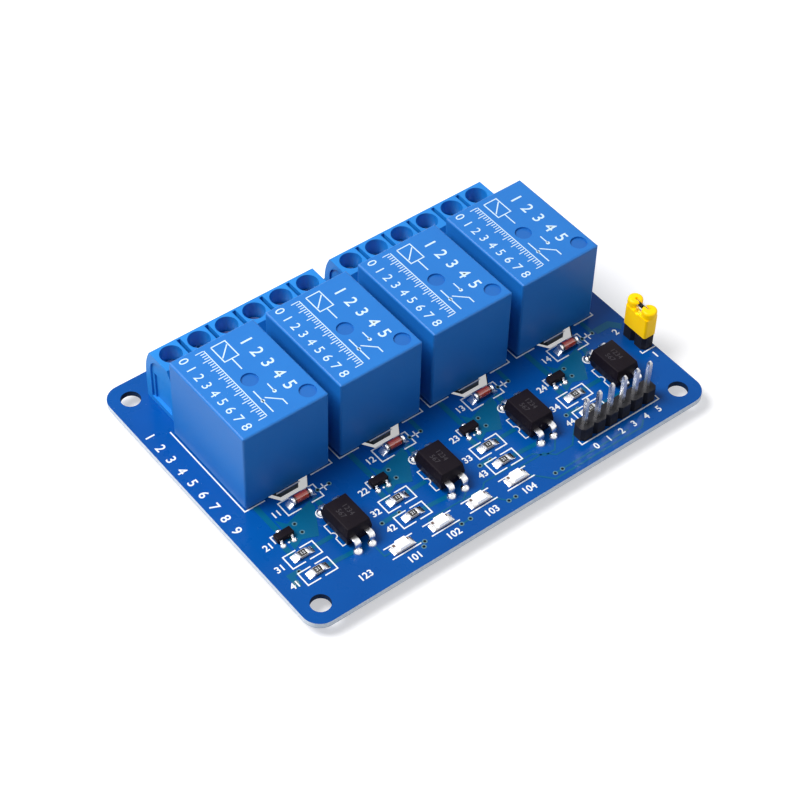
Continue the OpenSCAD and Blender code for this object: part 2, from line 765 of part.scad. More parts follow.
module diode(k) {
    color("tomato")
    translate([channel_x(k), diode_y, top_z + film_t + cap_d / 2]) rotate([0, 90, 0]) {
        cylinder(d = glass_d, h = diode_l - diode_cap, center = true);
        for (s = sides) translate([0, 0, s * (diode_l - diode_cap) / 2])
            cylinder(d = cap_d, h = diode_cap, center = true);
    }
}

// Feet of a transistor: two at the front, one at the rear
module sot_foot(side) {
    foot_w = 0.42;
    t = 0.13;
    mid = sot_h / 2;
    root = sot_w / 2 - 0.3;
    tip = sot_span / 2;
    bend = sot_w / 2 + t;
    mirror([0, side > 0 ? 0 : 1, 0]) along_x(foot_w)
        polygon([[root, mid + t], [bend, mid + t], [bend + t, t], [tip, t], [tip, 0],
            [bend, 0], [bend - t, mid], [root, mid]]);
}

module transistor(k) {
    lift = 0.08;
    draft = 0.08;
    color([0.13, 0.12, 0.14])
    translate([channel_x(k) - transistor_side, transistor_y, top_z + film_t]) {
        translate([0, 0, lift]) drafted_body(sot_l, sot_w, sot_h - lift, draft);
        for (x = sides) translate([x * sot_pitch / 2, 0, 0]) sot_foot(-1);
        sot_foot(1);
    }
}

// Chip resistor: ceramic block with a raised end cap at each end
module chip() {
    cap = 0.4;
    rise = 0.03;
    translate([-chip_l / 2 + eps, rise - chip_w / 2, rise])
        cube([chip_l - 2 * eps, chip_w - 2 * rise, chip_h - 2 * rise]);
    for (s = sides) translate([s * (chip_l - cap) / 2 - cap / 2, -chip_w / 2, 0]) cube([cap, chip_w, chip_h]);
}

module front_resistor(k) {
    color([0.2, 0.2, 0.2])
    translate([channel_x(k) - resistor_side, front_resistor_y, top_z + film_t]) chip();
}

module rear_resistor(k) {
    color([0.2, 0.2, 0.2])
    translate([channel_x(k) - resistor_side, rear_resistor_y, top_z + film_t]) chip();
}

module indicator_lamp(k) {
    foot = lens_l / 2;
    crest = foot - 0.12;
    lens_h = lamp_h - carrier_t;
    color("white")
    translate([lamp_x(k), lamp_y, top_z + film_t]) {
        difference() {
            translate([-lamp_l / 2, -lamp_w / 2, 0]) cube([lamp_l, lamp_w, carrier_t]);
            for (s = sides) translate([s * lamp_l / 2, 0, -1]) cylinder(r = lamp_bay, h = carrier_t + 2);
        }
        translate([0, 0, carrier_t - eps]) along_y(lamp_w)
            polygon([[-foot, 0], [foot, 0], [crest, lens_h], [-crest, lens_h]]);
    }
}

// ---- Solder ----

// Solder of a pin: it fills the plated hole and stands as a cone under the board
module solder_joint(section) {
    d = hole_d(section);
    difference() {
        union() {
            translate([0, 0, board_z - eps]) cylinder(d = d, h = board_t + eps);
            translate([0, 0, board_z - cone_h])
                cylinder(d1 = norm(section) + 0.3, d2 = d + 2 * ring_w, h = cone_h);
        }
        pin_bar(section, -1, top_z + 1);
    }
}

module solder_joints() {
    color([0.75, 0.76, 0.78])
    for (p = all_pins) translate([p.x, p.y, 0]) solder_joint(p[2]);
}

// Solder at the end of a small part: a film under the end and a slope up its face
module solder_toe(end_x, reach, rise, w) {
    under = end_x - 0.35;
    along_y(w)
        polygon([[under, 0], [end_x + reach, 0], [end_x + reach, film_t], [end_x, rise],
            [end_x, film_t], [under, film_t]]);
}

module solder_pair(end_x, rise, w) {
    for (s = sides) mirror([s > 0 ? 0 : 1, 0, 0]) solder_toe(end_x, toe, rise, w);
}

module sot_pad(x, side) {
    translate([x, 0, 0]) rotate(side * 90) solder_toe(sot_span / 2, sot_toe, sot_h / 4, 0.9);
}

// Solder bead round an optocoupler's lead, on the board
module solder_bead() {
    difference() {
        cylinder(d1 = hole_d(lead_pin) + 2 * ring_w, d2 = norm(lead_pin) + 0.15, h = bead_h);
        pin_bar(lead_pin, -1, bead_h + 1);
    }
}

module solder_fillets() {
    color([0.75, 0.76, 0.78])
    translate([0, 0, top_z])
    for (k = [0:channels - 1]) {
        translate([channel_x(k), diode_y, 0]) solder_pair(diode_l / 2, cap_d / 2, cap_d - 0.2);
        for (y = [front_resistor_y, rear_resistor_y])
            translate([channel_x(k) - resistor_side, y, 0]) solder_pair(chip_l / 2, chip_h - film_t, chip_w);
        translate([lamp_x(k), lamp_y, 0]) solder_pair(lamp_l / 2, carrier_t, lamp_w - 0.2);
        translate([channel_x(k) - transistor_side, transistor_y, 0]) {
            for (x = sides) sot_pad(x * sot_pitch / 2, -1);
            sot_pad(0, 1);
        }
        translate([channel_x(k) + opto_side, opto_y, 0]) for (p = opto_leads_at) translate([p.x, p.y, 0])
            solder_bead();
    }
}

// ---- The pieces ----

circuit_board();
for (k = [0:channels - 1]) {
    relay_case(k);
    relay_base(k);
    relay_pins(k);
    optocoupler(k);
    optocoupler_leads(k);
    diode(k);
    transistor(k);
    front_resistor(k);
    rear_resistor(k);
    indicator_lamp(k);
}
for (side = sides) {
    hand = side < 0 ? "left" : "right";
    terminal_housing(side);
    terminal_screws(side);
    terminal_clamps(side);
    terminal_pins(side);
}
input_header_strip();
input_header_pins();
jumper_header_strip();
jumper_header_pins();
jumper_cap();
jumper_clip();
solder_joints();
solder_fillets();
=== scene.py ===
import math
import bpy
import bmesh
from mathutils import Matrix, Vector


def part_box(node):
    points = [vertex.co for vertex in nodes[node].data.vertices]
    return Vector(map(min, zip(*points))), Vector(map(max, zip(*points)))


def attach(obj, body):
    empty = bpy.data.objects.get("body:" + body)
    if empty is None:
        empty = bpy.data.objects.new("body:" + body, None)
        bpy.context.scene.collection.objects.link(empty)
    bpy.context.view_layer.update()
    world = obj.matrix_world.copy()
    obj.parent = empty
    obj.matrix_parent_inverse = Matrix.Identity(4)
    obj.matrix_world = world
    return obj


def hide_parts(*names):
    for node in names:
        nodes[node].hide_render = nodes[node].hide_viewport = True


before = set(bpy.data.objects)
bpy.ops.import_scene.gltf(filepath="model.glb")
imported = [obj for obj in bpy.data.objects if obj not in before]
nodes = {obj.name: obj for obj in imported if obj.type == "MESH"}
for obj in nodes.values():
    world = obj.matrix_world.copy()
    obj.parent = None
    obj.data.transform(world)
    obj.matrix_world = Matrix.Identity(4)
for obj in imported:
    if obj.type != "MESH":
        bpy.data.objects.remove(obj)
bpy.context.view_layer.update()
channels = (1, 2, 3, 4)
print("frame loaded,", len(nodes), "nodes")


# places are in millimetres and are read from the frame
def boxOf(node):
    low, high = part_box(node)
    return Vector(low) * 1000, Vector(high) * 1000


def middleOf(node):
    low, high = boxOf(node)
    return (low + high) / 2


boardLow, boardHigh = boxOf("circuit_board")
boardTop = boardHigh.z
relays = [boxOf(f"relay_case_{k}") for k in channels]
relayX = [(low.x + high.x) / 2 for low, high in relays]
relayTop = relays[0][1].z


class Sock:
    # wraps a socket, so that shader maths is written as plain sums
    def __init__(self, tree, socket):
        self.tree = tree
        self.socket = socket

    def maths(self, operation, a, b=0.0, clamp=False):
        return addNode(self.tree, "Math", {"operation": operation, "use_clamp": clamp}, {0: a, 1: b})

    def __add__(self, other):
        return self.maths("ADD", self, other)

    def __sub__(self, other):
        return self.maths("SUBTRACT", self, other)

    def __mul__(self, other):
        return self.maths("MULTIPLY", self, other)

    def __radd__(self, other):
        return self.maths("ADD", other, self)

    def __rsub__(self, other):
        return self.maths("SUBTRACT", other, self)

    def __rmul__(self, other):
        return self.maths("MULTIPLY", other, self)

    def __gt__(self, other):
        return self.maths("GREATER_THAN", self, other)

    def __lt__(self, other):
        return self.maths("LESS_THAN", self, other)

    def __abs__(self):
        return self.maths("ABSOLUTE", self)

    def clipped(self):
        return self.maths("ADD", self, 0.0, clamp=True)


def feed(tree, slot, value):
    if isinstance(value, Sock):
        tree.links.new(value.socket, slot)
    elif isinstance(value, (tuple, list)) and len(value) == 3 and slot.type == "RGBA":
        slot.default_value = (*value, 1.0)
    else:
        slot.default_value = value


def addNode(tree, kind, settings=None, inputs=None, output=0):
    # every node but a material's shader comes from here; settings are set before inputs
    made = tree.nodes.new("ShaderNode" + kind)
    for key, value in (settings or {}).items():
        setattr(made, key, value)
    for key, value in (inputs or {}).items():
        feed(tree, made.inputs[key], value)
    return Sock(tree, made.outputs[output]) if made.outputs else made


class Finish:
    # one principled material; constants go straight onto the shader's sockets
    def __init__(self, name, **constants):
        self.material = bpy.data.materials.new(name)
        self.material.use_nodes = True
        self.tree = self.material.node_tree
        self.tree.nodes.clear()
        self.out = addNode(self.tree, "OutputMaterial")
        self.shader = self.tree.nodes.new("ShaderNodeBsdfPrincipled")
        self.tree.links.new(self.shader.outputs[0], self.out.inputs["Surface"])
        for key, value in constants.items():
            self.feed(self.shader.inputs[key.replace("_", " ")], value)

    def feed(self, slot, value):
        feed(self.tree, slot, value)

    def node(self, kind, settings=None, inputs=None, output=0):
        return addNode(self.tree, kind, settings, inputs, output)

    def place(self):
        return self.node("TexCoord", output="Object")

    def axis(self, vector, name):
        return self.node("SeparateXYZ", {}, {0: vector}, name)

    def noise(self, scale, detail=3.0, rough=0.55, vector=None):
        return self.node("TexNoise", {}, {"Vector": vector or self.place(), "Scale": scale,
                                          "Detail": detail, "Roughness": rough})

    def grains(self, scale, vector=None):
        return self.node("TexVoronoi", {}, {"Vector": vector or self.place(), "Scale": scale})

    def blend(self, amount, first, second):
        return self.node("Mix", {"data_type": "RGBA"}, {0: amount, 6: first, 7: second}, 2)

    def colour(self, value):
        self.feed(self.shader.inputs["Base Color"], value)

    def rough(self, value):
        self.feed(self.shader.inputs["Roughness"], value)

    def bump(self, height, strength=0.3, distance=0.00005):
        made = self.node("Bump", {}, {"Strength": strength, "Distance": distance, "Height": height})
        self.feed(self.shader.inputs["Normal"], made)


def mottled(name, dark, light, scale, roughness, spread=0.1, grain=6000, relief=0.15, **constants):
    # two close tones in soft clouds, with a fine grain in the gloss and the surface
    made = Finish(name, **constants)
    clouds = made.noise(scale)
    fine = made.noise(grain, 2.0)
    made.colour(made.blend(clouds, dark, light))
    made.rough(roughness + (fine - 0.5) * spread)
    made.bump(fine, relief)
    return made


boardLook = {"corner": 3.0, "edge": 0.02, "lowBand": 0.12, "slotBack": 0.5, "slotFront": -7.0}


def boardFinish():
    made = Finish("solderMask", Specular_IOR_Level=0.12, Coat_Roughness=0.15)
    spot = made.place()
    flat = abs(made.axis(made.node("NewGeometry", output="Normal"), "Z")) > 0.5
    height = made.axis(spot, "Z") * 1000
    back = made.axis(spot, "Y") * 1000
    across = abs(made.axis(spot, "X")) * 1000
    along = abs(back)
    clouds = made.noise(60, 4.0)
    mask = made.blend(clouds, (0.0, 0.055, 0.27), (0.0, 0.09, 0.38))
    dust = (made.grains(900) < 0.04) * (made.noise(60, 2.0) > 0.52)
    mask = made.blend(dust * 0.35, mask, (0.45, 0.6, 0.8))
    # the cut edge is pale laminate, frayed by the router, and darker in a band along its bottom
    radius = boardLook["corner"]
    edge = boardLook["edge"]
    centre = made.node("CombineXYZ", {}, {0: across - (boardHigh.x - radius),
                                          1: along - (boardHigh.y - radius)})
    corner = made.node("VectorMath", {"operation": "LENGTH"}, {0: centre}, 1)
    straight = (across > boardHigh.x - edge) + (along > boardHigh.y - edge)
    rounded = (corner > radius - edge) * (across > boardHigh.x - radius) * (along > boardHigh.y - radius)
    rim = (straight + rounded).clipped()
    fray = made.noise(1500, 4.0, 0.7)
    laminate = made.blend(fray, (0.4, 0.52, 0.66), (0.95, 0.97, 1.0))
    laminate = made.blend((height < boardLow.z + boardLook["lowBand"]) * 0.6, laminate, (0.3, 0.38, 0.48))
    # painted shade: hole and slot walls are the same pale laminate as the edge, painted dark grey mottled
    # by the fray, and near black across the band of the slots in front of the relays
    boreShade = made.blend(fray, (0.06, 0.08, 0.11), (0.2, 0.23, 0.27))
    slotted = (back > boardLook["slotFront"]) * (back < boardLook["slotBack"])
    wallShade = made.blend(slotted, (0.01, 0.03, 0.09), boreShade)
    side = made.blend(rim, wallShade, laminate)
    made.colour(made.blend(flat, side, mask))
    made.rough(0.6 - flat * 0.36 + made.noise(300, 3.0) * 0.08)
    made.feed(made.shader.inputs["Coat Weight"], flat * 0.06)
    made.bump(made.noise(700, 3.0) + fray * 3 * (1 - flat), 0.12, 0.00003)
    return made


def casePlastic(name, dark, light):
    # satin moulding with the faint cast of a polished tool and a few specks of dust
    made = Finish(name, Specular_IOR_Level=0.4)
    clouds = made.noise(160, 3.0)
    fine = made.noise(5200, 2.0)
    tone = made.blend(clouds, dark, light)
    specks = (made.grains(1100) < 0.05) * (made.noise(140, 2.0) > 0.6)
    made.colour(made.blend(specks * 0.3, tone, (0.5, 0.65, 0.85)))
    made.rough(0.36 + clouds * 0.08 + (fine - 0.5) * 0.06)
    made.bump(fine * 0.6 + made.noise(900, 2.0), 0.06, 0.00004)
    return made


def metal(name, colour, roughness, grain=3000, streak=1.0, relief=0.1):
    made = Finish(name, Metallic=1.0)
    spot = made.node("Mapping", {}, {"Vector": made.place(), "Scale": (1.0, 1.0, streak)})
    clouds = made.noise(grain, 3.0, vector=spot)
    tarnish = made.noise(700, 3.0)
    made.colour(made.blend(tarnish, tuple(c * 0.78 for c in colour), colour))
    made.rough(roughness + (clouds - 0.5) * 0.15 + (tarnish - 0.5) * 0.1)
    made.bump(clouds, relief, 0.00002)
    return made


finishes = {
    "board": boardFinish(),
    "track": mottled("trackUnderMask", (0.0, 0.08, 0.19), (0.0, 0.12, 0.25), 200, 0.3,
                     Specular_IOR_Level=0.2),
    "ring": mottled("viaRing", (0.05, 0.16, 0.22), (0.11, 0.25, 0.32), 900, 0.3),
    "print": mottled("whitePrint", (0.78, 0.8, 0.82), (0.9, 0.92, 0.94), 900, 0.5),
    "relay": casePlastic("relayMoulding", (0.008, 0.15, 0.52), (0.012, 0.18, 0.58)),
    "relayPrint": mottled("relayPrint", (0.5, 0.68, 0.84), (0.7, 0.84, 0.94), 1200, 0.55),
    "relayBase": mottled("relayBase", (0.004, 0.03, 0.16), (0.006, 0.04, 0.2), 400, 0.5),
    "terminal": casePlastic("terminalMoulding", (0.008, 0.2, 0.62), (0.012, 0.24, 0.7)),
    "screw": metal("zincScrew", (0.78, 0.78, 0.8), 0.3),
    "clamp": metal("plateClamp", (0.66, 0.66, 0.62), 0.38),
    "tin": metal("tinPlate", (0.9, 0.9, 0.92), 0.28, streak=0.15),
    "solder": metal("brightSolder", (0.93, 0.93, 0.95), 0.22, grain=1800),
    "resin": mottled("mouldingResin", (0.006, 0.004, 0.007), (0.011, 0.008, 0.012), 600, 0.45,
                     relief=0.3, Specular_IOR_Level=0.08),
    "mark": mottled("faintMark", (0.035, 0.032, 0.038), (0.055, 0.05, 0.058), 2500, 0.6,
                    Specular_IOR_Level=0.12),
    "amber": mottled("diodeGlass", (0.3, 0.025, 0.015), (0.55, 0.07, 0.035), 2500, 0.12,
                     Coat_Weight=1.0, Coat_Roughness=0.04),
    "smoke": mottled("diodeEnd", (0.04, 0.008, 0.006), (0.1, 0.02, 0.016), 2500, 0.12,
                     Coat_Weight=1.0, Coat_Roughness=0.04),
    "coating": mottled("resistorCoat", (0.014, 0.014, 0.015), (0.03, 0.03, 0.032), 1500, 0.35),
    "ceramic": mottled("resistorCeramic", (0.42, 0.39, 0.35), (0.6, 0.57, 0.52), 1500, 0.45),
    # painted glow: the unlit lamp's lens emits a little white light of its own, standing in for its
    # highlight
    "lens": mottled("lampLensGlow", (0.9, 0.9, 0.88), (0.97, 0.97, 0.96), 900, 0.2,
                    Emission_Color=(1.0, 1.0, 1.0, 1.0), Emission_Strength=0.3),
    "haze": mottled("lampEnd", (0.5, 0.46, 0.44), (0.88, 0.86, 0.84), 2600, 0.2,
                    Coat_Weight=0.6, Coat_Roughness=0.08),
    # painted shade of the lamps' half-holes
    "holeShade": mottled("lampHoleShade", (0.08, 0.045, 0.04), (0.16, 0.1, 0.09), 2600, 0.3),
    # painted shade for the insides of the via holes
    "viaShade": mottled("paintedViaShade", (0.002, 0.002, 0.003), (0.006, 0.006, 0.008), 900, 0.7,
                   Specular_IOR_Level=0.1),
    "shade": casePlastic("sunkMarkShade", (0.006, 0.11, 0.42), (0.008, 0.13, 0.46)),
    "black": mottled("headerMoulding", (0.01, 0.01, 0.012), (0.022, 0.021, 0.026), 700, 0.38, relief=0.3,
                     Specular_IOR_Level=0.15),
    # painted light: the cap emits a little orange light of its own, to brighten faces that the lamps leave
    # dim
    "yellow": mottled("capMouldingGlow", (0.95, 0.55, 0.0), (1.0, 0.68, 0.0), 500, 0.35, Specular_IOR_Level=0.2,
                      Emission_Color=(1.0, 0.55, 0.0, 1.0), Emission_Strength=0.2),
}

# the finish of each carried-over node, by the start of its name
cadFinish = {
    "circuit_board": "board", "relay_case": "relay", "relay_base": "relayBase", "relay_pins": "tin",
    "terminal_housing": "terminal", "terminal_screws": "screw", "terminal_clamps": "clamp",
    "terminal_pins": "tin", "optocoupler_leads": "tin", "optocoupler": "resin", "diode": "amber",
    "transistor": "resin", "front_resistor": "ceramic", "rear_resistor": "ceramic",
    "indicator_lamp": "lens", "input_header_strip": "black", "input_header_pins": "tin",
    "jumper_header_strip": "black", "jumper_header_pins": "tin", "jumper_cap": "yellow",
    "jumper_clip": "tin", "solder_joints": "solder", "solder_fillets": "solder",
}

for name, node in nodes.items():
    stem = max((key for key in cadFinish if name.startswith(key)), key=len)
    node.data.materials.clear()
    node.data.materials.append(finishes[cadFinish[stem]].material)
print("finishes set")


# a bmesh is drawn in millimetres, and scaled once, here, as it becomes a piece
def addPiece(name, bm, *finishNames, slot=None, crease=35):
    bmesh.ops.scale(bm, vec=(0.001, 0.001, 0.001), verts=bm.verts)
    mesh = bpy.data.meshes.new(name)
    bm.to_mesh(mesh)
    bm.free()
    for finish in finishNames:
        mesh.materials.append(finishes[finish].material)
    mesh.shade_smooth()
    mesh.set_sharp_from_angle(angle=math.radians(crease))
    piece = bpy.data.objects.new(name, mesh)
    bpy.context.scene.collection.objects.link(piece)
    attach(piece, "root")
    return piece


def ribbon(bm, points, width, top, height):
    # a flat line with mitred corners, drawn out edge by edge and thickened downwards
    spots = [Vector((x, y, top)) for x, y in points]
    edge = None
    for i, spot in enumerate(spots):
        before = (spot - spots[i - 1]).normalized() if i else None
        after = (spots[i + 1] - spot).normalized() if i + 1 < len(spots) else None
        way = ((before or after) + (after or before)).normalized()
        side = Vector((-way.y, way.x, 0)) * (width / 2 / max(way.dot(after or before), 0.3))
        ends = (spot + side, spot - side)
        if edge is None:
            edge = bm.edges.new([bm.verts.new(end) for end in ends])
            faces = []
        else:
            made = bmesh.ops.extrude_edge_only(bm, edges=[edge])["geom"]
            edge = next(g for g in made if isinstance(g, bmesh.types.BMEdge)
                        and all(v in made for v in g.verts))
            first = edge.verts[0]
            near = (first.co - lastEnds[0]).length < (first.co - lastEnds[1]).length
            for vert, end in zip(edge.verts, ends if near else reversed(ends)):
                vert.co = end
            faces += [g for g in made if isinstance(g, bmesh.types.BMFace)]
        lastEnds = ends
    bmesh.ops.recalc_face_normals(bm, faces=faces)
    if faces[0].normal.z < 0:
        bmesh.ops.reverse_faces(bm, faces=faces)
    bmesh.ops.solidify(bm, geom=faces, thickness=height)


def disc(bm, x, y, top, radius, height, segments=20, hole=0.0):
    # a flat disc or ring on the board
    made = bmesh.ops.create_circle(bm, cap_ends=True, segments=segments, radius=radius,
                                   matrix=Matrix.Translation((x, y, top)))
    face = made["verts"][0].link_faces[0]
    if face.normal.z < 0:
        face.normal_flip()
    faces = [face]
    if hole:
        faces = bmesh.ops.inset_region(bm, faces=[face], thickness=radius - hole, use_boundary=True,
                                       use_even_offset=True)["faces"]
        bmesh.ops.delete(bm, geom=[face], context="FACES")
    bmesh.ops.solidify(bm, geom=faces, thickness=height)


def numeral(bm, text, x, y, top, size, height=0.02, turn=0.0, weight=0.0):
    # plain numerals from the built-in typeface, centred on their place
    curve = bpy.data.curves.new("numeral", "FONT")
    curve.body = text
    curve.size = size / 0.71
    curve.align_x = "CENTER"
    curve.offset = weight
    curve.extrude = height / 2
    curve.resolution_u = 3
    shape = bpy.data.objects.new("numeral", curve)
    bpy.context.scene.collection.objects.link(shape)
    bpy.context.view_layer.update()
    mesh = bpy.data.meshes.new_from_object(shape.evaluated_get(bpy.context.evaluated_depsgraph_get()))
    place = (Matrix.Translation((x, y, top - height / 2)) @ Matrix.Rotation(turn, 4, "Z")
             @ Matrix.Translation((0, -size / 2, 0)))
    mesh.transform(place)
    bm.from_mesh(mesh)
    bpy.data.objects.remove(shape)
    bpy.data.curves.remove(curve)
    bpy.data.meshes.remove(mesh)


def block(bm, low, high, radius=0.0, segments=2, material=0):
    # a box between two corners, with all its edges rounded
    low = Vector(low)
    high = Vector(high)
    place = Matrix.Translation((low + high) / 2) @ Matrix.Diagonal((*(high - low), 1))
    made = bmesh.ops.create_cube(bm, size=1.0, matrix=place)
    faces = list({face for vert in made["verts"] for face in vert.link_faces})
    for face in faces:
        face.material_index = material
    if radius:
        edges = list({edge for vert in made["verts"] for edge in vert.link_edges})
        bmesh.ops.bevel(bm, geom=edges, offset=radius, affect="EDGES", segments=segments,
                        profile=0.5, material=-1)
    return made["verts"]


def rod(bm, start, end, y, z, radius, rounding=0.0, material=0, segments=24):
    # a cylinder along X, its two rims rounded
    place = Matrix.Translation(((start + end) / 2, y, z)) @ Matrix.Rotation(math.pi / 2, 4, "Y")
    made = bmesh.ops.create_cone(bm, cap_ends=True, segments=segments, radius1=radius, radius2=radius,
                                 depth=end - start, matrix=place)
    faces = list({face for vert in made["verts"] for face in vert.link_faces})
    for face in faces:
        face.material_index = material
    if rounding:
        rims = [edge for edge in {e for vert in made["verts"] for e in vert.link_edges}
                if any(len(face.verts) > 4 for face in edge.link_faces)]
        bmesh.ops.bevel(bm, geom=rims, offset=rounding, affect="EDGES", segments=3,
                        profile=0.5, material=-1)


def strap(bm, x, path, thickness, rounding=0.04):
    # a strip of sheet bent along its path of (y, z, width), with softened edges
    strip = bmesh.new()
    y, z, width = path[0]
    edge = strip.edges.new([strip.verts.new((x + side * width / 2, y, z)) for side in (-1, 1)])
    for y, z, width in path[1:]:
        made = bmesh.ops.extrude_edge_only(strip, edges=[edge])["geom"]
        edge = next(g for g in made if isinstance(g, bmesh.types.BMEdge)
                    and all(v in made for v in g.verts))
        for vert in edge.verts:
            vert.co = (x + math.copysign(width / 2, vert.co.x - x), y, z)
    bmesh.ops.recalc_face_normals(strip, faces=strip.faces)
    bmesh.ops.solidify(strip, geom=strip.faces[:], thickness=thickness)
    bmesh.ops.recalc_face_normals(strip, faces=strip.faces)
    sharp = [edge for edge in strip.edges if edge.calc_face_angle(0) > math.radians(50)]
    bmesh.ops.bevel(strip, geom=sharp, offset=rounding, affect="EDGES", segments=2,
                    profile=0.5, material=-1)
    addTo(bm, strip)


def addTo(bm, other):
    mesh = bpy.data.meshes.new("part")
    other.to_mesh(mesh)
    other.free()
    bm.from_mesh(mesh)
    bpy.data.meshes.remove(mesh)


def drop(bm, x, y, base, reachX, reachY, rise, material=0):
    # a pillow of solder: a flattened ball cut off at its base
    ball = bmesh.new()
    bmesh.ops.create_uvsphere(ball, u_segments=20, v_segments=12, radius=1.0,
                              matrix=Matrix.Translation((x, y, base - rise * 0.15))
                              @ Matrix.Diagonal((reachX, reachY, rise * 1.15, 1)))
    everything = ball.verts[:] + ball.edges[:] + ball.faces[:]
    cut = bmesh.ops.bisect_plane(ball, geom=everything, plane_co=(0, 0, base), plane_no=(0, 0, 1),
                                 clear_inner=True)["geom_cut"]
    bmesh.ops.holes_fill(ball, edges=[g for g in cut if isinstance(g, bmesh.types.BMEdge)], sides=0)
    for face in ball.faces:
        face.material_index = material
    addTo(bm, ball)


def wedge(bm, inner, outer, y, width, base, rise, toe=0.14, rounding=0.06):
    # solder drawn up the end of a small part and thinning towards its pad's outer edge
    left, right = sorted((inner, outer))
    verts = block(bm, (left, y - width / 2, base), (right, y + width / 2, base + rise))
    for vert in verts:
        if vert.co.z > base + rise / 2 and abs(vert.co.x - outer) < 0.001:
            vert.co.z = base + toe
    edges = list({edge for vert in verts for edge in vert.link_edges
                  if max(v.co.z for v in edge.verts) > base + 0.01})
    bmesh.ops.bevel(bm, geom=edges, offset=rounding, affect="EDGES", segments=3, profile=0.5, material=-1)


def patch(bm, corners, top, height):
    # a flat area with straight sides
    verts = [bm.verts.new((x, y, top)) for x, y in corners]
    face = bmesh.ops.contextual_create(bm, geom=verts)["faces"][0]
    if face.normal.z < 0:
        face.normal_flip()
    bmesh.ops.solidify(bm, geom=[face], thickness=height)


# copper under the mask, and the plated holes of each part, measured from its middle
tracks = {"rise": 0.025, "sink": 0.015, "fine": 0.25, "broad": 0.95, "ring": 0.4, "hole": 0.23}
vias = {
    "transistor": [(2.75, 1.1), (2.75, -0.8)],
    "diode": [(3.1, 0.05), (5.2, 0.05)],
    "resistor": [[(-2.2, 1.55), (-3.7, 0.15)], [(-4.6, 1.45), (-1.3, 1.55)],
                 [(-3.4, 1.45), (-1.35, 1.45)], [(-3.7, 1.4), (-1.3, 1.35)]],
    "lamp": [[(3.2, -1.2), (2.5, -1.9)], [(2.35, -1.9), (4.0, -1.9)],
             [(3.55, -2.65), (4.85, -2.65)], [(5.35, -2.7), (6.75, -2.7)]],
}


